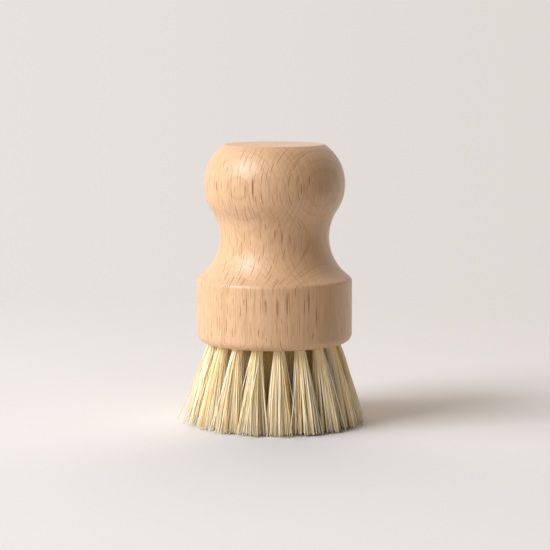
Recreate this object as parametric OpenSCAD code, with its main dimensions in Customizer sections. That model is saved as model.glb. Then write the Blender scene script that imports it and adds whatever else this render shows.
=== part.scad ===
// Round vegetable brush: a turned beech handle with fibre tufts folded over
// metal anchors in splayed blind holes.
// Millimetres, +Z up. The origin is on the brush's axis, in the plane that the
// trimmed tips stand on.

/* [Brush block] */
// Diameter of the block's straight side
block_d = 54; // [52:1:60]
// Height of the straight side and lower rounding, from the underside to the shoulder
block_h = 21; // [18:1:26]
// Rounding of the block's lower edge
foot_r = 3; // [1:0.5:3]
// Rounding of the shoulder where the block meets the flare
shoulder_r = 2; // [1:0.5:4]

/* [Neck and knob] */
// Smallest diameter of the neck
neck_d = 38; // [32:1:42]
// Radius of the hollow curve from the shoulder up to the neck
flare_r = 17; // [14:0.5:22]
// Radius of the hollow curve from the neck up to the knob
throat_r = 17; // [12:0.5:20]
// Largest diameter of the knob
knob_d = 49; // [45:1:54]
// Radius of the knob's rounded side, seen from the front
knob_side_r = 16.5; // [14:0.5:18]
// Diameter at which the flat crown cuts the knob
crown_d = 34.5; // [28:0.5:38]
// Rounding of the crown's edge
crown_edge_r = 0.8; // [0.4:0.1:1.5]

/* [Tufts] */
// Length of bristle below the block, measured straight down
bristle_h = 28.5; // [24:0.5:36]
// Diameter of each drilled tuft hole
hole_d = 4; // [3.4:0.1:4.4]
// Depth of the full diameter of each hole, along its own axis
hole_depth = 11; // [9:0.5:13]
// Gap between a packed tuft and the wall of its hole
tuft_gap = 0.02; // [0.01:0.01:0.05]
// Length of tightly packed tuft that stands out of a hole before the fibres fan out
collar_h = 1.4; // [1.2:0.1:2.4]
// Gap between neighbouring tufts where their tips are trimmed
tip_gap = 0.5; // [0.4:0.1:1.2]

/* [Tuft rings] */
// Bare wood from the outer ring of hole centres to the block's side
rim_w = 6; // [5.5:0.5:7]
// How much wider the outer tufts stand at their tips than at their holes, in radius
splay = 5.1; // [3:0.1:6]

/* [Anchors] */
// Thickness of the flat metal strip that each tuft is folded over
anchor_t = 0.5; // [0.4:0.1:0.8]
// Height of the strip, along the hole
anchor_h = 2; // [1.5:0.1:2.5]
// Thickness of folded fibre above the strip
fold_h = 1.6; // [1.2:0.1:2]

/* [Hidden] */
// How far the flat steps of a turned curve may stand off the true curve
arc_tolerance = 0.1;
full_turn = 360;
// Rings of tufts from the middle outwards, each with six tufts more than the last
RING_NAMES = ["centre", "inner", "middle", "outer"];
outer_ring = len(RING_NAMES) - 1;
// Bearing of the first tuft of each ring, in degrees from +X
FIRST_BEARINGS = [0, 6, 21, 14];
// Extra length of a cut beyond the underside, so that it leaves no skin
overcut = 1;
// Strands drawn in each tuft, and the golden angle that spreads them evenly
strand_count = 13;
golden_angle = 137.508;
// Half width of a strand, as a share of its part of the bundle's radius
strand_fill = 0.62;
// Space kept between the outermost strands and the side of the packed tuft
collar_margin = 0.04;

block_r = block_d / 2;
neck_r = neck_d / 2;
hole_r = hole_d / 2;
tuft_r = hole_r - tuft_gap;
anchor_length = 2 * (tuft_r - tuft_gap);
shoulder_z = bristle_h + block_h;

// Tufts stand one pitch apart, from ring to ring and along each ring
root_pitch = (block_r - rim_w) / outer_ring;
tip_pitch = root_pitch + splay / outer_ring;
tip_r = (tip_pitch - tip_gap) / 2;

// The hollow flare touches the shoulder's rounding, so their centres are as far
// apart as their radii together
flare_x = neck_r + flare_r;
shoulder_x = block_r - shoulder_r;
neck_z = shoulder_z + rise(flare_r + shoulder_r, flare_x - shoulder_x);
shoulder_turn = atan2(neck_z - shoulder_z, flare_x - shoulder_x);

// The throat touches the knob's side in the same way
throat_x = neck_r + throat_r;
knob_x = knob_d / 2 - knob_side_r;
knob_z = neck_z + rise(throat_r + knob_side_r, throat_x - knob_x);
throat_turn = atan2(knob_z - neck_z, throat_x - knob_x);

// The crown's edge rounding lies inside the knob's curve, against the flat top
crown_z = knob_z + rise(knob_side_r, crown_d / 2 - knob_x);
edge_z = crown_z - crown_edge_r;
edge_x = knob_x + rise(knob_side_r - crown_edge_r, edge_z - knob_z);
edge_turn = atan2(edge_z - knob_z, edge_x - knob_x);

RINGS = [0:outer_ring];

function rise(slope, run) = sqrt(slope * slope - run * run);

function two_digits(i) = str(i < 10 ? "0" : "", i);

function tufts_in(k) = max(6 * k, 1);

function bearing(k, i) = FIRST_BEARINGS[k] + (i - 1) * full_turn / tufts_in(k);

// Lean of a ring's tufts away from the axis
function lean(k) = atan2(k * (tip_pitch - root_pitch), bristle_h);

function tuft_name(k, i) =
    str(RING_NAMES[k], "_tuft", tufts_in(k) > 1 ? str("_", two_digits(i)) : "");

function anchor_name(k) = str(RING_NAMES[k], "_anchor", tufts_in(k) > 1 ? "s" : "");

// Points on an arc, from one angle to another, both included
function arc(centre, r, from, to) =
    let (
        widest_step = 2 * acos(1 - arc_tolerance / r),
        steps = ceil(abs(to - from) / widest_step)
    )
    [for (i = [0:steps]) let (a = from + (to - from) * i / steps) centre + r * [cos(a), sin(a)]];

// Half of the handle's section, from the middle of the underside round to the crown
function handle_outline() = concat(
    [[0, bristle_h]],
    arc([block_r - foot_r, bristle_h + foot_r], foot_r, -90, 0),
    arc([shoulder_x, shoulder_z], shoulder_r, 0, shoulder_turn),
    arc([flare_x, neck_z], flare_r, 180 + shoulder_turn, 180),
    arc([throat_x, neck_z], throat_r, 180, 180 - throat_turn),
    arc([knob_x, knob_z], knob_side_r, -throat_turn, edge_turn),
    arc([edge_x, edge_z], crown_edge_r, edge_turn, 90),
    [[0, crown_z]]
);

// Places children at the mouth of hole i of ring k, with +Z going up into the wood
module at_hole(k, i) {
    rotate(bearing(k, i))
    translate([k * root_pitch, 0, bristle_h])
    rotate([0, -lean(k), 0])
    children();
}

// The flat strip across a hole that a tuft is folded over, near the hole's end
module anchor_strip(length) {
    translate([-anchor_t / 2, -length / 2, hole_depth - fold_h - anchor_h])
        cube([anchor_t, length, anchor_h]);
}

module handle() {
    color("burlywood")
    difference() {
        rotate_extrude($fn = 144) polygon(handle_outline());
        for (k = RINGS, i = [1:tufts_in(k)])
            at_hole(k, i)
                translate([0, 0, -overcut]) cylinder(h = hole_depth + overcut, r = hole_r, $fn = 48);
    }
}

// The part of a tuft that its hole packs tight, round the strip
module packed_tuft() {
    difference() {
        translate([0, 0, -collar_h]) cylinder(h = hole_depth + collar_h, r = tuft_r, $fn = 48);
        anchor_strip(hole_d);
    }
}

// Where strand i stands in a round bundle of radius 1
function strand_place(i) =
    let (r = sqrt((i + 0.5) / strand_count), a = i * golden_angle)
    [r * cos(a), r * sin(a), 0];

// Four corners of a strand that is cut level, round a centre
function strand_corners(centre, half_w, turn) =
    [for (k = [0:3]) centre + half_w * [cos(turn + 90 * k), sin(turn + 90 * k), 0]];

// One strand, between two level cuts
module strand(root, root_w, tip, tip_w, turn) {
    polyhedron(
        points = concat(strand_corners(root, root_w, turn), strand_corners(tip, tip_w, turn)),
        faces = concat(
            [[3, 2, 1], [3, 1, 0], [4, 5, 6], [4, 6, 7]],
            [for (k = [0:3]) [k, (k + 1) % 4, 4 + (k + 1) % 4]],
            [for (k = [0:3]) [k, 4 + (k + 1) % 4, 4 + k]]
        )
    );
}

// The strands of ring k below the underside, from inside the collar to level tips
module strands(k) {
    start = collar_h / 2;
    root_half_w = strand_fill * tuft_r / sqrt(strand_count);
    root_spread = tuft_r - collar_margin - root_half_w;
    tip_half_w = strand_fill * tip_r / sqrt(strand_count);
    tip_spread = tip_r - tip_half_w;
    root = [k * root_pitch + start * tan(lean(k)), 0, bristle_h - start];
    tip = [k * tip_pitch, 0, 0];
    for (s = [0:strand_count - 1])
        strand(
            root + root_spread * strand_place(s), root_half_w,
            tip + tip_spread * strand_place(s), tip_half_w,
            s * golden_angle
        );
}

module tuft(k, i) {
    color("wheat") {
        at_hole(k, i) packed_tuft();
        rotate(bearing(k, i)) strands(k);
    }
}

module anchors(k) {
    color("silver")
    for (i = [1:tufts_in(k)])
        at_hole(k, i) anchor_strip(anchor_length);
}

handle();
for (k = RINGS, i = [1:tufts_in(k)])
    tuft(k, i);
for (k = RINGS)
    anchors(k);
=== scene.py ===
# %% [markdown]
# # A round vegetable brush
#
# The brush is one turned piece of beech with 37 bundles of plant fibre pushed into holes in its underside.
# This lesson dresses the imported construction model: it turns the handle again with fine steps, bends every
# fibre by formula, and gives the wood and the fibre their colours. The brush stands on its trimmed tips at
# the origin. Shapes are worked out in millimetres, as a brush is measured, and become metres in their mesh.

# %% Load the construction model
import math

import bpy
import numpy as np
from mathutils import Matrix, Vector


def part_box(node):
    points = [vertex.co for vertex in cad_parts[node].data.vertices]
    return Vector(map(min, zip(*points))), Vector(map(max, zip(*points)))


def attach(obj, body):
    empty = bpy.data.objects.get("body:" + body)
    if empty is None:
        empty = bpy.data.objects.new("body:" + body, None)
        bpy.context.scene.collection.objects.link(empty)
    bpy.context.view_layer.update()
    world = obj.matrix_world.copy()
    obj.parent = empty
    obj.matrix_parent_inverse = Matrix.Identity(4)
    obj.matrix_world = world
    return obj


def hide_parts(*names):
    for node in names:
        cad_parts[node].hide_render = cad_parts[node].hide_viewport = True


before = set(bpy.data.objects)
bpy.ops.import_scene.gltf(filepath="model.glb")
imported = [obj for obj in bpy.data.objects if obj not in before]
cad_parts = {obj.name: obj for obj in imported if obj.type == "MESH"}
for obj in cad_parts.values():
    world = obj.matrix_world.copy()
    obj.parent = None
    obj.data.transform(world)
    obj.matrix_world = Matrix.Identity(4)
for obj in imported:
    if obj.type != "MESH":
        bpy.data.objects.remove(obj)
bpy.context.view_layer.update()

MM = 0.001

# %% [markdown]
# ## The driving sizes
#
# The construction model knows the block's radius, the underside's height and the crown's height, so they
# are read from it. The radii of the turned curves are the ones that its profile was drawn with, in
# millimetres.

# %% Sizes of the handle
handle_low, handle_high = (np.array(corner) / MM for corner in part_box("handle"))
block_r = handle_high[0]
underside_z = handle_low[2]
crown_z = handle_high[2]
foot_r = 3.0
shoulder_r = 2.0
block_h = 21.0
neck_r = 19.0
flare_r = 17.0
throat_r = 17.0
knob_r = 24.5
knob_side_r = 16.5
crown_edge_r = 0.8
print("block radius", round(block_r, 2), "underside", round(underside_z, 2), "crown", round(crown_z, 2))

# %% [markdown]
# ## Where the tufts stand
#
# A brush maker drills the holes in rings, seven millimetres apart, and leans the drill a little more in each
# ring, so that the tips spread. Each hole gets a small frame of its own: where its mouth is, and which way
# is outwards, round the ring and up into the wood. Everything in a hole is then worked out in that frame.
# The first bearings, in degrees, turn the rings so that their tufts stand as the photograph shows them.

# %% Rings of tufts and the frame of a hole
RING_NAMES = ["centre", "inner", "middle", "outer"]
FIRST_BEARINGS = [0, 6, 21, 14]
rim_w = 6.0
splay = 5.1
outer_ring = len(RING_NAMES) - 1
root_pitch = (block_r - rim_w) / outer_ring
tip_pitch = root_pitch + splay / outer_ring
hole_r = 2.0
hole_depth = 11.0
anchor_top = 9.4


def tufts_in(ring):
    """One tuft in the centre, and six more in each ring than in the last."""
    return max(6 * ring, 1)


def tuft_name(ring, i):
    """The construction model's name for tuft i of a ring, counted from 1."""
    return f"{RING_NAMES[ring]}_tuft" + (f"_{i:02d}" if tufts_in(ring) > 1 else "")


def hole_frame(ring, i):
    """Mouth and three directions of a hole: outwards, round the ring, and up into the wood.

    The hole's axis leans by the angle whose tangent is the tips' spread over the bristle length.
    """
    bearing = math.radians(FIRST_BEARINGS[ring] + (i - 1) * 360 / tufts_in(ring))
    lean = math.atan2(ring * (tip_pitch - root_pitch), underside_z)
    away = np.array([math.cos(bearing), math.sin(bearing), 0.0])
    around = np.array([-math.sin(bearing), math.cos(bearing), 0.0])
    up = np.array([0.0, 0.0, 1.0])
    mouth = away * ring * root_pitch + up * underside_z
    leaning_away = away * math.cos(lean) + up * math.sin(lean)
    leaning_up = up * math.cos(lean) - away * math.sin(lean)
    return mouth, leaning_away, around, leaning_up


every_tuft = [(ring, i) for ring in range(outer_ring + 1) for i in range(1, tufts_in(ring) + 1)]
print(len(every_tuft), "tufts, at holes", round(root_pitch, 1), "mm apart and at tips", round(tip_pitch, 1))

# %% [markdown]
# ## The handle's profile
#
# A turner cuts this shape with a few sweeps of a gouge: a rounded foot, a straight side, a small round
# shoulder, a hollow up to the neck and out again, and one large round that the flat crown cuts off. Each
# sweep is an arc that touches the next one, so two centres are as far apart as the two radii together. The
# construction model's own mesh has visible flats, so the same arcs are worked out again in steps of a
# degree and a half.

# %% Work out the profile of arcs
ARC_STEP = 1.5
LEAST_ARC_STEPS = 3
FLAT_STEPS = 14
WALL_STEPS = 12


def arc(centre, r, start, end):
    """Points at a distance r from the centre, from one angle to another in degrees."""
    steps = max(int(math.ceil(abs(end - start) / ARC_STEP)), LEAST_ARC_STEPS)
    angle = np.radians(np.linspace(start, end, steps + 1))
    return np.stack([centre[0] + r * np.cos(angle), centre[1] + r * np.sin(angle)], -1)


def side(slope, run):
    """The upright side of a right triangle, from its slope and its run."""
    return math.sqrt(slope * slope - run * run)


shoulder_z = underside_z + block_h
flare_x, shoulder_x = neck_r + flare_r, block_r - shoulder_r
neck_z = shoulder_z + side(flare_r + shoulder_r, flare_x - shoulder_x)
shoulder_turn = math.degrees(math.atan2(neck_z - shoulder_z, flare_x - shoulder_x))
throat_x, knob_x = neck_r + throat_r, knob_r - knob_side_r
knob_z = neck_z + side(throat_r + knob_side_r, throat_x - knob_x)
throat_turn = math.degrees(math.atan2(knob_z - neck_z, throat_x - knob_x))
edge_z = crown_z - crown_edge_r
edge_x = knob_x + side(knob_side_r - crown_edge_r, edge_z - knob_z)
edge_turn = math.degrees(math.atan2(edge_z - knob_z, edge_x - knob_x))
flat = np.linspace(0, 1, FLAT_STEPS)[:, None]
wall = np.linspace(0, 1, WALL_STEPS)[1:-1, None]
profile = np.vstack([
    np.array([0, underside_z]) + flat[:-1] * [block_r - foot_r, 0],
    arc([block_r - foot_r, underside_z + foot_r], foot_r, -90, 0),
    np.array([block_r, underside_z + foot_r]) + wall * [0, block_h - foot_r],
    arc([shoulder_x, shoulder_z], shoulder_r, 0, shoulder_turn),
    arc([flare_x, neck_z], flare_r, 180 + shoulder_turn, 180)[1:],
    arc([throat_x, neck_z], throat_r, 180, 180 - throat_turn)[1:],
    arc([knob_x, knob_z], knob_side_r, -throat_turn, edge_turn)[1:],
    arc([edge_x, edge_z], crown_edge_r, edge_turn, 90)[1:],
    np.array([0, crown_z]) + (1 - flat[1:]) * [edge_x, 0],
])
print(len(profile), "points, with the neck at", round(neck_z, 1), "mm and the knob at", round(knob_z, 1))

# %% [markdown]
# ## From a profile to a turned surface
#
# Blender's Spin tool or a Screw modifier would carry the profile round the axis. Here the whole surface is
# worked out as one array instead: one row of points for each step of the profile and one column for each
# step round it. The faces are the same four-corner pattern of point numbers everywhere, so no loop over
# points is needed, and the same pattern serves the fibres later.

# %% Points and faces of a turned surface
def grid_faces(rows, columns, closed):
    """Four-sided faces of a grid of points, each from a point to the next column and the next row."""
    spans = columns if closed else columns - 1
    row, column = np.meshgrid(np.arange(rows - 1), np.arange(spans), indexing="ij")
    here, right = row * columns + column, row * columns + (column + 1) % columns
    return np.stack([here, right, right + columns, here + columns], -1).reshape(-1, 4)


def turned(profile, columns):
    """Points and faces of a profile of (radius, height) rows carried round Z. Both ends lie on the axis."""
    angle = np.linspace(0, 2 * np.pi, columns, endpoint=False)
    rings = profile[1:-1]
    heights = np.repeat(rings[:, 1:], columns, 1)
    body = np.stack([rings[:, :1] * np.cos(angle), rings[:, :1] * np.sin(angle), heights], -1).reshape(-1, 3)
    low, high = len(body), len(body) + 1
    points = np.vstack([body, [0, 0, profile[0, 1]], [0, 0, profile[-1, 1]]])
    here = np.arange(columns)
    after = (here + 1) % columns
    last = (len(rings) - 1) * columns
    caps = np.vstack([
        np.stack([after, here, np.full(columns, low)], -1),
        np.stack([last + here, last + after, np.full(columns, high)], -1),
    ])
    return points, [grid_faces(len(rings), columns, True), caps]


HANDLE_COLUMNS = 288
handle_points, handle_faces = turned(profile, HANDLE_COLUMNS)
print("the turned surface has", len(handle_points), "points and", sum(len(f) for f in handle_faces), "faces")

# %% [markdown]
# ## From arrays to an object
#
# A mesh keeps its points, its faces' corners and the place where each face starts in three long lists. They
# are filled in one go with foreach_set, which is far quicker than adding points one by one.

# %% The undrilled handle
def mesh_object(name, points_mm, faces, smooth=True):
    """An object at the origin, with its place in its mesh.

    faces is a list of arrays, each with its own number of corners to a face.
    """
    mesh = bpy.data.meshes.new(name)
    mesh.vertices.add(len(points_mm))
    mesh.vertices.foreach_set("co", (np.asarray(points_mm) * MM).astype(np.float32).ravel())
    corners = np.concatenate([f.ravel() for f in faces])
    sizes = np.concatenate([np.full(len(f), f.shape[1]) for f in faces])
    mesh.loops.add(len(corners))
    mesh.loops.foreach_set("vertex_index", corners.astype(np.int32))
    mesh.polygons.add(len(sizes))
    mesh.polygons.foreach_set("loop_start", np.concatenate([[0], np.cumsum(sizes)[:-1]]).astype(np.int32))
    mesh.update(calc_edges=True)
    if smooth:
        mesh.shade_smooth()
    mesh.validate()
    piece = bpy.data.objects.new(name, mesh)
    bpy.context.scene.collection.objects.link(piece)
    return piece


handle = mesh_object("turned_handle", handle_points, handle_faces)
print("the handle is", [round(d / MM, 1) for d in handle.dimensions], "mm before it is drilled")

# %% [markdown]
# ## The drilled holes
#
# The holes are cut with a Boolean modifier, as one would by hand, but with all 37 drills in one object.
# Each drill is a turned shape too, laid along its hole: a pointed end, and a wider part that breaks the
# sharp edge of the mouth. The modifier is applied, so that the piece is plain mesh.

# %% Drill the handle
MOUTH_BREAK = 0.18
DRILL_POINT_SLOPE = math.tan(math.radians(31))
DRILL_COLUMNS = 40
OVERCUT = 1.0
SHARP_EDGE = math.radians(32)


def hole_cutters():
    """One closed cutter for each hole, all in one object, with its outline turned round the hole's axis."""
    mouth_r = hole_r + MOUTH_BREAK
    point = hole_depth + hole_r * DRILL_POINT_SLOPE
    outline = np.array([
        [0, -OVERCUT], [mouth_r, -OVERCUT], [mouth_r, 0.0],
        [hole_r, MOUTH_BREAK], [hole_r, hole_depth], [0, point],
    ])
    points, faces = turned(outline, DRILL_COLUMNS)
    placed, numbered = [], [[] for _ in faces]
    for ring, i in every_tuft:
        mouth, away, around, up = hole_frame(ring, i)
        for kind, f in enumerate(faces):
            numbered[kind].append(f + len(placed) * len(points))
        placed.append(mouth + points @ np.array([away, around, up]))
    return mesh_object("hole_cutters", np.vstack(placed), [np.vstack(f) for f in numbered])


def apply_modifiers(piece):
    """Replaces a piece's mesh by what its modifiers make of it."""
    graph = bpy.context.evaluated_depsgraph_get()
    mesh = bpy.data.meshes.new_from_object(piece.evaluated_get(graph))
    piece.modifiers.clear()
    piece.data = mesh


cutters = hole_cutters()
drill = handle.modifiers.new("drill", "BOOLEAN")
drill.operation = "DIFFERENCE"
drill.solver = "EXACT"
drill.object = cutters
bpy.context.view_layer.update()
apply_modifiers(handle)
bpy.data.objects.remove(cutters)
handle.data.shade_smooth()
handle.data.set_sharp_from_angle(angle=SHARP_EDGE)
print("the drilled handle has", len(handle.data.polygons), "faces")

# %% [markdown]
# ## The fibre tufts
#
# On the real brush a bundle of fibres is laid across a flat strip of metal, folded in half over it, and
# driven into its hole, so that each fibre is a hairpin with two trimmed ends. They are built the same way
# here: half as many hairpins as there are ends, each a thin tube swept along a path with a fold at its
# middle. A particle hair system would be quicker to set up, but it has no thickness of its own and doesn't
# export, so the tubes are real meshes with four sides and few rings.
#
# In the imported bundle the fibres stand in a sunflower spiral, which fills a circle evenly. Hairpins fold
# from one side of the strip to the other, so only the spots on one side are kept.

# %% Spots in a packed bundle
ENDS = {"centre": 100, "inner": 110, "middle": 130, "outer": 200}
PACKED_R = 1.73
STRIP_HALF = 0.25


def bundle(count):
    """Spots in a bundle of radius 1: at the root of a growing share of its area, a golden angle apart.

    Only the half beyond the strip is kept. The hairpins' second legs are its mirror image.
    """
    k = np.arange(count)
    r = np.sqrt((k + 0.5) / count)
    angle = k * math.pi * (3 - math.sqrt(5))
    spots = np.stack([r * np.cos(angle), r * np.sin(angle)], -1)
    return spots[spots[:, 0] > 0]


print("hairpins in a tuft:", {ring_name: len(bundle(ends)) for ring_name, ends in ENDS.items()})

# %% [markdown]
# ## The legs of a hairpin
#
# Plant fibres leave the hole straight and then bow outwards, and no two bend alike. A leg is a row of eight
# points: six below the mouth and two in the hole. All legs of a tuft are worked out together, and what
# makes them differ comes from one seeded generator, so the brush is the same each time.

# %% The path of a leg
rng = np.random.default_rng(37)
LEG_STEPS = 6
DEPTHS_IN_HOLE = np.array([3.0, 6.4])
TIP_SPREAD = 4.75
BOW = 0.16
WIDENING_POWER = 0.9
LEAST_TRIM = 0.3
TRIM_SPREAD = 0.55
FULL_LENGTH_SHARE = 0.04
DRIFT = 0.72
DRIFT_POWER = 1.2
STRAY_SHARE = 0.045
STRAY_DRIFT = 2.8
WAVE = 0.09
WAVE_TURN, TURN_SPREAD = 4, 3


def leg_paths(spots, ring, mouth, away, around, up):
    """One leg for each spot, from its trimmed tip up to the strip, as an array of legs by steps by xyz.

    Below the mouth a leg's place is its spot in the bundle, which widens in step with the distance s from the
    mouth, around a middle line that bows from the hole to the tips. A slow wave and a small random drift make
    each leg its own.
    """
    count = len(spots)
    s = np.linspace(1, 0, LEG_STEPS)[None, :, None]
    widening = (tip_pitch / root_pitch - 1) * s ** (1 - BOW * (ring / outer_ring))
    middle = (mouth * [1, 1, 0])[None, None] * (1 + widening)
    height = mouth[2] * (1 - s)
    trimmed = (LEAST_TRIM + np.abs(rng.normal(0, TRIM_SPREAD, (count, 1, 1)))) * s
    trimmed[rng.random(count) < FULL_LENGTH_SHARE] = 0
    stray = rng.random(count) < STRAY_SHARE
    drift = rng.normal(0, DRIFT, (count, 2)) + stray[:, None] * rng.normal(0, STRAY_DRIFT, (count, 2))
    spread = PACKED_R + (TIP_SPREAD - PACKED_R) * s ** WIDENING_POWER
    flat_away = away * [1, 1, 0] / max(np.linalg.norm(away[:2]), 1e-9)
    offset = spots[:, None, :] * spread + drift[:, None, :] * s ** DRIFT_POWER
    phase, pitch = rng.uniform(0, 2 * np.pi, (2, count, 1))
    wave = WAVE * np.sin(phase + s[..., 0] * (WAVE_TURN + TURN_SPREAD * np.sin(pitch))) * s[..., 0]
    below = (
        middle
        + offset[..., :1] * flat_away
        + (offset[..., 1:] + wave[..., None]) * around
        + (height + trimmed) * np.array([0, 0, 1.0])
    )
    packed = spots[:, None, :] * PACKED_R
    inside = mouth + DEPTHS_IN_HOLE[None, :, None] * up + packed[..., :1] * away + packed[..., 1:] * around
    return np.concatenate([below, np.broadcast_to(inside, (count, len(DEPTHS_IN_HOLE), 3))], 1)


print("a leg has", LEG_STEPS + len(DEPTHS_IN_HOLE), "points, and most are", LEAST_TRIM, "mm short or more")

# %% [markdown]
# ## The fold and the tube
#
# The fold goes over the strip as half an ellipse, higher for the outer fibres, because they lie on top of
# the others. Each whole path then becomes a four-sided tube. Two directions square to the path are found at
# every point, and the tube's corners stand around it in their plane.

# %% The fold of a hairpin and the tube along a path
FOLD_STEPS = 3
STRIP_CLEARANCE = 0.14
LOWEST_FOLD = 0.15
FOLD_GROWTH = 1.15
SIDES = 4


def fold_paths(spots, mouth, away, around, up):
    """The fold over the strip: half an ellipse from one leg's side to the other's."""
    turn = np.linspace(0, np.pi, FOLD_STEPS)[None, :, None]
    reach = np.maximum(PACKED_R * spots[:, None, :1], STRIP_HALF + STRIP_CLEARANCE)
    rise = LOWEST_FOLD + FOLD_GROWTH * spots[:, None, :1]
    return (
        mouth
        + reach * np.cos(turn) * away
        + spots[:, None, 1:] * PACKED_R * around
        + (anchor_top + rise * np.sin(turn)) * up
    )


def sweep(paths, radii, side_way):
    """Points and faces of four-sided tubes along many paths at once, with a flat cap at each end."""
    count, steps = paths.shape[:2]
    along = np.gradient(paths, axis=1)
    along /= np.linalg.norm(along, axis=-1, keepdims=True)
    first = side_way - (along @ side_way)[..., None] * along
    first /= np.linalg.norm(first, axis=-1, keepdims=True)
    second = np.cross(along, first)
    turn = (np.arange(SIDES) + 0.5) * 2 * np.pi / SIDES
    ring = first[:, :, None] * np.cos(turn)[:, None] + second[:, :, None] * np.sin(turn)[:, None]
    points = paths[:, :, None] + ring * radii[:, :, None, None]
    start = (np.arange(count) * steps * SIDES)[:, None, None]
    walls = (grid_faces(steps, SIDES, True)[None] + start).reshape(-1, 4)
    caps = np.stack([np.arange(SIDES)[::-1], (steps - 1) * SIDES + np.arange(SIDES)])[None] + start
    return points.reshape(-1, 3), [walls, caps.reshape(-1, SIDES)]


path_steps = 2 * (LEG_STEPS + len(DEPTHS_IN_HOLE)) + FOLD_STEPS
print("a hairpin's path has", path_steps, "points and its tube", path_steps * SIDES)

# %% [markdown]
# ## Build every tuft
#
# A tuft is one object, so that the brush has 37 of them and not thousands of fibres. Two numbers are stored
# on its points for the material to read: the fibre's own tone, and how far along the leg the point is, which
# the material uses for painted shade near the roots. The outer ring has more pale fibres. The hidden rings
# are mostly deep golden, and that gold is painted glow: it stands for the light that passes through the
# fibres into the gaps between the tufts.

# %% Build the tufts
# The high golden shares and the deeper golden tones of the hidden rings are painted glow, for light that
# passes through the fibres; the outer ring's share and tones are the fibre's own mix.
GOLDEN_SHARE = {"centre": 0.9, "inner": 0.9, "middle": 0.85, "outer": 0.34}
PALE_TONES = (1.8, 5.0)
GOLDEN_TONES = (6.0, 3.0)
PAINTED_GLOW_TONES = (11.0, 3.0)
THINNEST, THICKEST = 0.13, 0.23
TIP_TAPER = 0.72


def make_tuft(ring, i):
    """A tuft's hairpins as one object, with each fibre's tone and how far along its leg each point is."""
    mouth, away, around, up = hole_frame(ring, i)
    spots = bundle(ENDS[RING_NAMES[ring]])
    first_leg = leg_paths(spots, ring, mouth, away, around, up)
    second_leg = leg_paths(spots * [-1, 1], ring, mouth, away, around, up)
    fold = fold_paths(spots, mouth, away, around, up)
    paths = np.concatenate([first_leg, fold, second_leg[:, ::-1]], 1)
    thickness = rng.uniform(THINNEST, THICKEST, (len(spots), 1))
    leg_share = np.linspace(0, 1, LEG_STEPS + len(DEPTHS_IN_HOLE))
    from_tip = np.concatenate([leg_share, np.ones(FOLD_STEPS), leg_share[::-1]])
    points, faces = sweep(paths, thickness * (TIP_TAPER + (1 - TIP_TAPER) * from_tip)[None], around)
    points[:, 2] = np.maximum(points[:, 2], 0.0)  # no end is below the floor
    piece = mesh_object(f"fibres_{tuft_name(ring, i)}", points, faces, smooth=False)

    # painted glow: most fibres of the hidden rings take the deeper golden tones; the outer ring's golden
    # fibres are its own mix
    golden = rng.random(len(spots)) < GOLDEN_SHARE[RING_NAMES[ring]]
    golden_or_glow_tone = rng.beta(*(GOLDEN_TONES if ring == outer_ring else PAINTED_GLOW_TONES), len(spots))
    tone = np.where(golden, golden_or_glow_tone, rng.beta(*PALE_TONES, len(spots)))
    per_point = {
        "tone": np.repeat(tone, paths.shape[1] * SIDES),
        "along": np.tile(np.repeat(1 - from_tip, SIDES), len(spots)),
    }
    for name, values in per_point.items():
        attribute = piece.data.attributes.new(name, "FLOAT", "POINT")
        attribute.data.foreach_set("value", values.astype(np.float32))
    return piece


tufts = {tuft_name(ring, i): make_tuft(ring, i) for ring, i in every_tuft}
print(len(tufts), "tufts with", sum(len(t.data.polygons) for t in tufts.values()), "faces in all")

# %% [markdown]
# ## Arithmetic on a material's sockets
#
# A pattern such as growth rings is a formula, and a formula is easier to read as one than as a row of Math
# nodes. The class below wraps a socket, so that `rings * 0.3 + 1` adds the Math nodes by itself. Any other
# node comes from its node method, and colours are mixed with a Mix node, because a Math node turns them
# grey.

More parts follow.
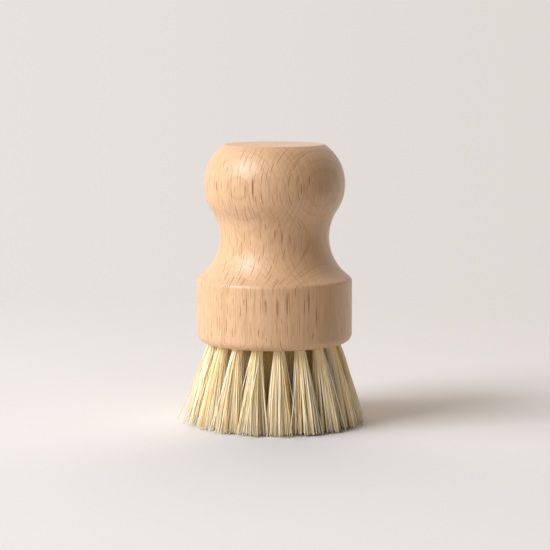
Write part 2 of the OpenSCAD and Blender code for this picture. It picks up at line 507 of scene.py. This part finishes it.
# %% A socket that does arithmetic
class Wire:
    """A node's output in one node tree. Arithmetic on it adds Math nodes, and node() adds any other node."""

    def __init__(self, tree, socket=None):
        self.tree = tree
        self.socket = socket

    def feed(self, slot, value):
        """Links a wire to a socket, or sets the socket to a plain value."""
        if isinstance(value, Wire):
            self.tree.links.new(value.socket, slot)
        else:
            slot.default_value = value

    def node(self, kind, settings=None, output=0, **inputs):
        """Adds a node: its settings first, then the values or links of its sockets.

        A socket is named, with _ for a space, or numbered as i0, i1 and so on.
        """
        made = self.tree.nodes.new(kind)
        for name, value in (settings or {}).items():
            if name == "stops":
                ramp = made.color_ramp.elements
                while len(ramp) < len(value):
                    ramp.new(0.5)
                for element, (place, colour) in zip(ramp, value):
                    element.position = place
                    element.color = (*colour, 1)
            else:
                setattr(made, name, value)
        for name, value in inputs.items():
            numbered = name[0] == "i" and name[1:].isdigit()
            self.feed(made.inputs[int(name[1:]) if numbered else name.replace("_", " ")], value)
        return Wire(self.tree, made.outputs[output])

    def output(self, name):
        """Another output of the node that this wire comes from."""
        return Wire(self.tree, self.socket.node.outputs[name])

    def math(self, operation, *values, clamp=False):
        """A Math node on this socket and up to two more values."""
        inputs = {f"i{k}": v for k, v in enumerate((self, *values))}
        return self.node("ShaderNodeMath", {"operation": operation, "use_clamp": clamp}, **inputs)

    def __add__(self, other): return self.math("ADD", other)
    def __radd__(self, other): return self.math("ADD", other)
    def __sub__(self, other): return self.math("SUBTRACT", other)
    def __rsub__(self, other): return (self * -1) + other
    def __mul__(self, other): return self.math("MULTIPLY", other)
    def __rmul__(self, other): return self.math("MULTIPLY", other)
    def __truediv__(self, other): return self.math("DIVIDE", other)
    def __pow__(self, other): return self.math("POWER", other)

    def step(self, low, high):
        """0 below low, 1 above high, and a smooth slope between."""
        return self.node(
            "ShaderNodeMapRange", {"interpolation_type": "SMOOTHSTEP"},
            Value=self, From_Min=low, From_Max=high, To_Min=0.0, To_Max=1.0,
        )

    def split(self):
        """The three numbers of a vector."""
        parts = self.node("ShaderNodeSeparateXYZ", i0=self)
        return [parts.output(axis) for axis in "XYZ"]

    def vector(self, x, y, z):
        """A vector of three numbers."""
        return self.node("ShaderNodeCombineXYZ", X=x, Y=y, Z=z)

    def mix(self, other, share, blend="MIX"):
        """This colour changed towards another by a share."""
        settings = {"data_type": "RGBA", "blend_type": blend}
        return self.node("ShaderNodeMix", settings, output=2, i0=share, i6=self, i7=other)


trial = bpy.data.node_groups.new("trial", "ShaderNodeTree")
formula = 1 - Wire(trial).node("ShaderNodeValue") * 0.3
print("1 - value * 0.3 takes", len(trial.nodes), "nodes and ends in", formula.socket.node.operation)
bpy.data.node_groups.remove(trial)

# %% [markdown]
# ## What every material starts from
#
# Patterns are written in millimetres, because that is how grain is measured, so Object coordinates are
# multiplied by a thousand. The pieces' objects stay at the origin, so the patterns stay where they are put.

# %% A new material and its coordinates
def new_material(name):
    """A node material, with a wire to start from and its main shader."""
    material = bpy.data.materials.new(name)
    material.use_nodes = True
    shader = material.node_tree.nodes["Principled BSDF"]
    return material, Wire(material.node_tree), shader


def dress(start, shader, **finish):
    """Feeds the main shader's sockets, which are named with _ for a space."""
    for name, value in finish.items():
        start.feed(shader.inputs[name.replace("_", " ")], value)


def millimetres(start):
    """The point's x, y and z in millimetres."""
    place = start.node("ShaderNodeTexCoord", output="Object")
    return start.node("ShaderNodeVectorMath", {"operation": "SCALE"}, i0=place, Scale=1 / MM).split()


print("a pattern's unit is", MM, "m")

# %% [markdown]
# ## The oiled beech, seen from the tree
#
# Beech shows two things on a turned surface. Growth rings are cylinders about the heart of the tree, so
# they draw nested ellipses where the knob bulges towards it. Rays are thin upright sheets that run out from
# the heart: end-on they are the short dark flecks, and they draw a second set of ellipses where the knob is
# side-on to them. A painted image would have to be wrapped round the shape. Working in the tree's own frame
# avoids that: the distance from the heart gives the rings, and the distance round it gives the rays. The
# heart lies where the middles of the ellipses in the photograph put it.

# %% The tree's frame and its growth rings
HEART_DISTANCE = 97.0
HEART_BEARING = math.radians(-90 - 29.5)
HEART_X, HEART_Y = -math.cos(HEART_BEARING), -math.sin(HEART_BEARING)
RING_WIDTH = 1.15
UNEVEN_YEARS = 3.2
SWAY = 2.6


def swayed(start):
    """x, y and z, with x and y shifted by a slow noise, so that no line of the grain is quite straight."""
    x, y, z = millimetres(start)
    sway = start.node(
        "ShaderNodeTexNoise", output="Color", Vector=start.vector(x, y, z * 0.35), Scale=0.045, Detail=1.0
    )
    sway_x, sway_y, _ = sway.split()
    return x + (sway_x - 0.5) * SWAY, y + (sway_y - 0.5) * SWAY, z


def from_heart(x, y):
    """Distance from the heart, and the length of arc round it at the brush's own distance."""
    out = x * HEART_X + y * HEART_Y + HEART_DISTANCE
    over = y * HEART_X - x * HEART_Y
    distance = (out * out + over * over) ** 0.5
    return distance, over.math("ARCTAN2", out) * HEART_DISTANCE


def latewood(start, distance):
    """How dark a year's ring is: a band late in the year, with a strength of its own for each year.

    The years are the distance over the ring width, plus a slow noise that makes them uneven.
    """
    slow = distance * 0.21
    age = start.node("ShaderNodeTexNoise", {"noise_dimensions": "1D"}, W=slow, Scale=1.0, Detail=2.0)
    years = distance / RING_WIDTH + age * UNEVEN_YEARS
    share = years.math("FRACT")
    year = years.math("FLOOR")
    strength = start.node("ShaderNodeTexWhiteNoise", {"noise_dimensions": "1D"}, output="Value", W=year)
    return share.step(0.45, 0.90) * (1 - share.step(0.93, 1.0)) * (strength * 0.75 + 0.25)


print("the tree's heart is", HEART_DISTANCE, "mm off, or", round(HEART_DISTANCE / RING_WIDTH), "years")

# %% [markdown]
# ## The flecks of the rays
#
# A Voronoi node scatters one random point in each cell of a plane. With the way round the heart as one
# direction and the height as the other, each point becomes a spindle that is as long as a ray is high.
# Where the surface runs along the rays instead of across them, the spindles would smear out, so they are
# faded there.

# %% Spindle-shaped flecks
SMALL_FLECKS = {"cell": (0.75, 3.4), "half_width": 0.07, "half_length": 1.2, "seed": 3.3}
MEDIUM_FLECKS = {"cell": (1.4, 6.2), "half_width": 0.13, "half_length": 2.7, "seed": 11.7}
LARGE_FLECKS = [
    (-18, 83.7, 4.2, 0.42), (22, 83.1, 2.6, 0.28), (29, 86.0, 2.2, 0.28), (-53, 83.8, 2.4, 0.3),
    (-6, 43.6, 3.8, 0.3), (3, 43.0, 5.2, 0.34), (10, 44.5, 6.0, 0.36), (26, 45.6, 4.2, 0.32),
    (32, 40.8, 4.2, 0.32), (0, 67.8, 2.2, 0.26), (8, 66.0, 2.4, 0.26),
]


def flecks(start, around_heart, z, facing, cell, half_width, half_length, seed):
    """1 inside a spindle-shaped fleck: a cell's random point, and the ellipse distance to it in millimetres.

    The half width is measured on the surface, so it shrinks with facing, the share by which a step along the
    surface counts as a step round the heart.
    """
    plane = start.vector(around_heart / cell[0] + seed, z / cell[1] + seed, 0.0)
    places = start.node(
        "ShaderNodeTexVoronoi", {"voronoi_dimensions": "2D", "feature": "F1"}, output="Position",
        Vector=plane, Scale=1.0, Randomness=1.0,
    )
    px, py, _ = places.split()
    x, y, _ = plane.split()
    one, two, three = places.output("Color").split()
    across = (x - px) * cell[0] / ((one * half_width + half_width * 0.55) * facing)
    length = (y - py) * cell[1] / (two * half_length + half_length * 0.45)
    reach = (across * across + length * length) ** 0.5
    return (1 - reach.step(0.55, 1.15)) * three.step(0.05, 0.55)


def facing_rays(x, y, distance, crown):
    """The share of a step round the brush that is a step round the heart, with its own value on the crown.

    It is the cosine between the way out from the brush's axis and the way out from the heart.
    """
    turned_r = (x * x + y * y + 1.0) ** 0.5
    square_on = (turned_r * turned_r + (x * HEART_X + y * HEART_Y) * HEART_DISTANCE) / (turned_r * distance)
    return square_on.math("ABSOLUTE") * (1 - crown) + crown * 0.8


def large_flecks(colour, x, y, z, ragged_edge):
    """Adds the boldest flecks, each at its own bearing, height, half length and half width."""
    for bearing, height, half_length, half_width in LARGE_FLECKS:
        turn = math.radians(bearing)
        aside = (x * math.cos(turn) + y * math.sin(turn)) / half_width
        level = (z - height) / half_length
        ahead = (x * math.sin(turn) - y * math.cos(turn)).step(0.0, 5.0)
        ragged = ragged_edge + (aside * aside + level * level) ** 0.5
        colour = colour.mix((*RAY, 1), (1 - ragged.step(0.35, 1.1)) * ahead * 0.85)
    return colour


print(len(LARGE_FLECKS), "bold flecks, up to", 2 * max(fleck[2] for fleck in LARGE_FLECKS), "mm long")

# %% [markdown]
# ## The beech put together
#
# The colours are mixed from the palest to the darkest: the wood, its latewood bands, faint ray sheets,
# broad and fine streaks, and the flecks on top. The oil finish is a thin soft coat. The pores and flecks
# dent the surface by a hundredth of a millimetre or so, which is left to a Bump node.

# %% The beech material
PALE = (0.70, 0.445, 0.255)
LATEWOOD = (0.52, 0.315, 0.17)
RAY = (0.27, 0.105, 0.035)


def make_beech():
    """The wood's colour, roughness and fine relief."""
    material, start, shader = new_material("oiled_beech")
    x, y, z = swayed(start)
    distance, around = from_heart(x, y)
    late = latewood(start, distance)
    pores = start.vector(x * 2.6, y * 2.6, z * 0.16)
    fine = start.node("ShaderNodeTexNoise", Vector=pores, Scale=1.0, Detail=4.0, Roughness=0.6)
    bands = start.vector(x * 0.34, y * 0.34, z * 0.035)
    broad = start.node("ShaderNodeTexNoise", Vector=bands, Scale=1.0, Detail=2.0)
    sheets = start.node(
        "ShaderNodeTexNoise", {"noise_dimensions": "1D"}, W=around * 1.05 + z * 0.012, Scale=1.0, Detail=2.0
    )
    crown = start.node("ShaderNodeNewGeometry", output="Normal").split()[2].step(0.75, 0.95)
    facing = facing_rays(x, y, distance, crown)
    shown = facing.step(0.06, 0.26) * (1 - crown * 0.65)
    small = flecks(start, around, z, facing, **SMALL_FLECKS) * shown
    medium = flecks(start, around, z, facing, **MEDIUM_FLECKS) * shown

    colour = start.node("ShaderNodeRGB")
    colour.socket.default_value = (*PALE, 1)
    colour = colour.mix((*LATEWOOD, 1), late * 0.58)
    colour = colour.mix((*LATEWOOD, 1), sheets.step(0.56, 0.70) * (1 - crown) * 0.38)
    colour = colour.mix((1.10, 1.08, 1.05, 1), (broad - 0.5).math("MULTIPLY", 2.2, clamp=True), "MULTIPLY")
    colour = colour.mix((0.82, 0.76, 0.70, 1), (0.60 - fine).math("MULTIPLY", 2.2, clamp=True), "MULTIPLY")
    colour = colour.mix((*RAY, 1), small * 0.40)
    colour = colour.mix((*RAY, 1), medium * 0.88)
    colour = large_flecks(colour, x, y, z, (fine - 0.5) * 0.9)

    relief = start.node(
        "ShaderNodeBump", Strength=0.25, Distance=0.00006, Height=fine * 0.35 - (small + medium) * 0.8
    )
    roughness = fine * 0.10 + (small + medium) * 0.08 + 0.36
    dress(
        start, shader, Base_Color=colour, Roughness=roughness, Normal=relief,
        Coat_Weight=0.35, Coat_Roughness=0.42,
    )
    return material


beech = make_beech()
print("the beech has", len(beech.node_tree.nodes), "nodes")

# %% [markdown]
# ## The plant fibre
#
# Each fibre has its own tone, stored in the mesh when the tuft was built: most are pale cream and some are
# golden; the deep gold of the hidden rings is painted glow. A ramp turns the tone into a colour, fine streaks
# run along each fibre, and painted shade makes the fibres slightly browner where they come out of the wood.
# A weak sheen stands for the light that dry fibres scatter.

# %% The fibre material
FIBRE_STOPS = [
    (0.0, (1.0, 0.94, 0.80)), (0.45, (1.0, 0.87, 0.59)),
    (0.8, (0.99, 0.745, 0.30)), (1.0, (0.95, 0.62, 0.17)),
]


def make_fibre():
    """Dry, slightly glossy plant fibre, from each fibre's tone and the share of the way to its tip."""
    material, start, shader = new_material("plant_fibre")
    tone = start.node("ShaderNodeAttribute", {"attribute_name": "tone"}, output="Fac")
    along = start.node("ShaderNodeAttribute", {"attribute_name": "along"}, output="Fac")
    x, y, z = millimetres(start)
    lengthwise = start.vector(x * 3, y * 3, z * 0.3)
    streak = start.node("ShaderNodeTexNoise", Vector=lengthwise, Scale=1.0, Detail=2.0)
    # painted shade: (1 - along) moves the colour up the ramp, browner, towards the roots where the fibres
    # enter the wood
    shade = tone + (streak - 0.5) * 0.40 + (1 - along) * 0.10
    colour = start.node("ShaderNodeValToRGB", {"stops": FIBRE_STOPS}, Fac=shade)
    dress(
        start, shader, Base_Color=colour, Roughness=0.42, Specular_IOR_Level=0.5,
        Sheen_Weight=0.25, Sheen_Roughness=0.5, Sheen_Tint=(1.0, 0.82, 0.48, 1),
    )
    return material


fibre = make_fibre()
print("the fibre's colour runs through", len(FIBRE_STOPS), "stops")

# %% [markdown]
# ## The anchors' steel
#
# The flat strips are cut from drawn steel wire. They are sealed in the wood and nobody sees them, but a
# reader who takes the brush apart does, so they get a dull metal with fine marks.

# %% The anchor material
STEEL_STOPS = [(0.3, (0.48, 0.47, 0.45)), (0.7, (0.66, 0.65, 0.62))]


def make_wire():
    """Dull flat steel wire with fine drawing marks."""
    material, start, shader = new_material("anchor_steel")
    place = start.node("ShaderNodeTexCoord", output="Object")
    marks = start.node("ShaderNodeTexNoise", Vector=place, Scale=9000.0, Detail=3.0)
    colour = start.node("ShaderNodeValToRGB", {"stops": STEEL_STOPS}, Fac=marks)
    dress(start, shader, Base_Color=colour, Roughness=marks * 0.2 + 0.25, Metallic=1.0)
    return material


wire = make_wire()
print("materials so far:", [material.name for material in (beech, fibre, wire)])

# %% [markdown]
# ## Put the pieces in the construction model
#
# Every piece rides on the model's only body. The turned handle and the tufts stand for the plain solids,
# which are then hidden. The anchors keep their own meshes and only change their material.

# %% Attach, replace and paint
handle.data.materials.clear()
handle.data.materials.append(beech)
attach(handle, "root")
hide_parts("handle")
for name, tuft in tufts.items():
    tuft.data.materials.append(fibre)
    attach(tuft, "root")
    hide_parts(name)
anchors = [node for name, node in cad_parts.items() if "anchor" in name]
for node in anchors:
    node.data.materials.clear()
    node.data.materials.append(wire)
print("1 handle and", len(tufts), "tufts replace solids, and", len(anchors), "groups of anchors stay")

# %% [markdown]
# ## The floor
#
# The brush stands on a pale seamless sheet. A real one is paper that curves up behind. Here it is a flat
# disc whose material turns clear away from the brush, so that it has no edge and fades into the background.

# %% Floor
FLOOR_COLOUR = (0.70, 0.695, 0.69)
FLOOR_RADIUS = 2500.0
FLOOR_CORNERS = 96
FADE_START, FADE_END = 0.14, 0.42


def make_floor():
    """A disc whose shader is mixed with a clear one by the distance from the brush, in metres."""
    angle = np.linspace(0, 2 * np.pi, FLOOR_CORNERS, endpoint=False)
    points = FLOOR_RADIUS * np.stack([np.cos(angle), np.sin(angle), np.zeros(FLOOR_CORNERS)], -1)
    floor = mesh_object("floor", points, [np.arange(FLOOR_CORNERS)[None]])
    material, start, shader = new_material("pale_sheet")
    dress(start, shader, Base_Color=(*FLOOR_COLOUR, 1), Roughness=0.9, Specular_IOR_Level=0.1)
    place = start.node("ShaderNodeTexCoord", output="Object")
    away = start.node("ShaderNodeVectorMath", {"operation": "LENGTH"}, output="Value", i0=place)
    sheet = Wire(start.tree, shader.outputs[0])
    clear = start.node("ShaderNodeBsdfTransparent")
    both = start.node("ShaderNodeMixShader", i0=away.step(FADE_START, FADE_END), i1=sheet, i2=clear)
    start.feed(start.tree.nodes["Material Output"].inputs["Surface"], both)
    floor.data.materials.append(material)
    return floor


floor = make_floor()
print("the floor fades from", FADE_START, "to", FADE_END, "m from the brush")

# %% [markdown]
# ## The background and the fill light
#
# A studio's walls do three things at once, and the world can do each of them apart. The camera sees a pale
# background with painted light: lighter at the left, where the lamps are, and darker at the right.
# Reflections see it too, but with a dim room in front. The brush and the floor are lit by a broad bright
# glow from behind, which keeps the shadow soft, and by a weak warm glow from the front left.
# A Light Path node tells the world which of these a ray is looking for.

# %% Background
BACK_LEFT = (0.805, 0.765, 0.735)
BACK_RIGHT = (0.735, 0.69, 0.655)
ROOM_COLOUR = (0.20, 0.17, 0.15)
FILL_COLOUR = (1.0, 0.87, 0.75)
FILL_STRENGTH = 0.66
BEHIND_STRENGTH = 2.9


def make_background():
    """A world with one shader for what is seen and another for what lights, mixed by the kind of ray."""
    world = bpy.data.worlds.new("studio")
    bpy.context.scene.world = world
    world.use_nodes = True
    tree = world.node_tree
    tree.nodes.clear()
    start = Wire(tree)
    x, y, _ = start.node("ShaderNodeTexCoord", output="Generated").split()
    path = start.node("ShaderNodeLightPath")
    camera_ray, glossy_ray, clear_ray = (
        path.output(name) for name in ("Is Camera Ray", "Is Glossy Ray", "Is Transmission Ray")
    )
    shown = start.node("ShaderNodeRGB")
    shown.socket.default_value = (*BACK_LEFT, 1)
    # painted light on the background: lighter at the left, towards the lamps, and darker at the right
    shown = shown.mix((*BACK_RIGHT, 1), x.step(-0.22, 0.22))
    shown = shown.mix((*ROOM_COLOUR, 1), glossy_ray * (1 - y.step(-0.3, 0.4)))
    picture = start.node("ShaderNodeBackground", Color=shown, Strength=1.0)
    front_left = 1 - (x * 0.7 + y * 0.7).step(-0.9, 0.2)
    behind = y.step(0.4, 0.9)
    strength = front_left * FILL_STRENGTH + behind * BEHIND_STRENGTH
    light = start.node("ShaderNodeBackground", Color=(*FILL_COLOUR, 1), Strength=strength)
    seen = (camera_ray + glossy_ray).math("ADD", clear_ray, clamp=True)
    both = start.node("ShaderNodeMixShader", i0=seen, i1=light, i2=picture)
    start.feed(tree.nodes.new("ShaderNodeOutputWorld").inputs["Surface"], both)
    return world


world = make_background()
print("the world has", len(world.node_tree.nodes), "nodes")

# %% [markdown]
# ## The lamps
#
# Two large soft lamps do the rest. A low one at the left gives the long shadow, and one at the front left,
# 40 degrees up, gives the broad pale highlights on the knob and the neck. The low lamp is hidden from
# reflections, because from the far side the flat crown would mirror it and turn white.

# %% Lamps
LOW_LAMP = {"bearing": -85, "height": 15, "size": 0.9, "power": 21.6, "colour": (0.96, 1.01, 1.09)}
FRONT_LAMP = {"bearing": -60, "height": 40, "size": 1.0, "power": 33.6, "colour": (0.98, 1.0, 1.06)}
LAMP_DISTANCE = 2.0
AIM_HEIGHT = 0.04


def add_lamp(name, bearing, height, size, power, colour):
    """A square lamp that faces the brush, from a bearing off the camera's side and a height in degrees."""
    bearing, height = math.radians(bearing), math.radians(height)
    data = bpy.data.lights.new(name, "AREA")
    data.size = size
    data.energy = power
    data.color = colour
    lamp = bpy.data.objects.new(name, data)
    bpy.context.scene.collection.objects.link(lamp)
    lamp.location = (
        LAMP_DISTANCE * math.cos(height) * math.sin(bearing),
        -LAMP_DISTANCE * math.cos(height) * math.cos(bearing),
        LAMP_DISTANCE * math.sin(height) + AIM_HEIGHT,
    )
    lamp.rotation_euler = (math.pi / 2 - height, 0, bearing)
    return lamp


low_lamp = add_lamp("low_lamp", **LOW_LAMP)
low_lamp.visible_glossy = False
front_lamp = add_lamp("front_lamp", **FRONT_LAMP)
print("lamps at", [[round(c, 2) for c in lamp.location] for lamp in (low_lamp, front_lamp)], "m")

# %% [markdown]
# ## The camera
#
# The photograph looks slightly down on the brush from seven tenths of a metre. Its place, its pitch and its
# focal length were worked out together from the ellipses of the crown and the underside and from the
# outline. A focal length in pixels becomes one in millimetres by the width of the sensor over the width of
# the picture.

# %% Camera
CAMERA_PLACE = (0.00019, -0.696, 0.1366)
CAMERA_PITCH = math.radians(6.97)
FOCAL_PIXELS = 2016
PHOTO_PIXELS = 550
SENSOR_MM = 36.0

camera_data = bpy.data.cameras.new("camera")
camera_data.sensor_width = SENSOR_MM
camera_data.lens = FOCAL_PIXELS / PHOTO_PIXELS * SENSOR_MM
camera = bpy.data.objects.new("camera", camera_data)
bpy.context.scene.collection.objects.link(camera)
camera.location = CAMERA_PLACE
camera.rotation_euler = (math.pi / 2 - CAMERA_PITCH, 0, 0)
bpy.context.scene.camera = camera
bpy.context.scene.view_settings.view_transform = "Standard"
print("the lens is", round(camera_data.lens, 1), "mm")
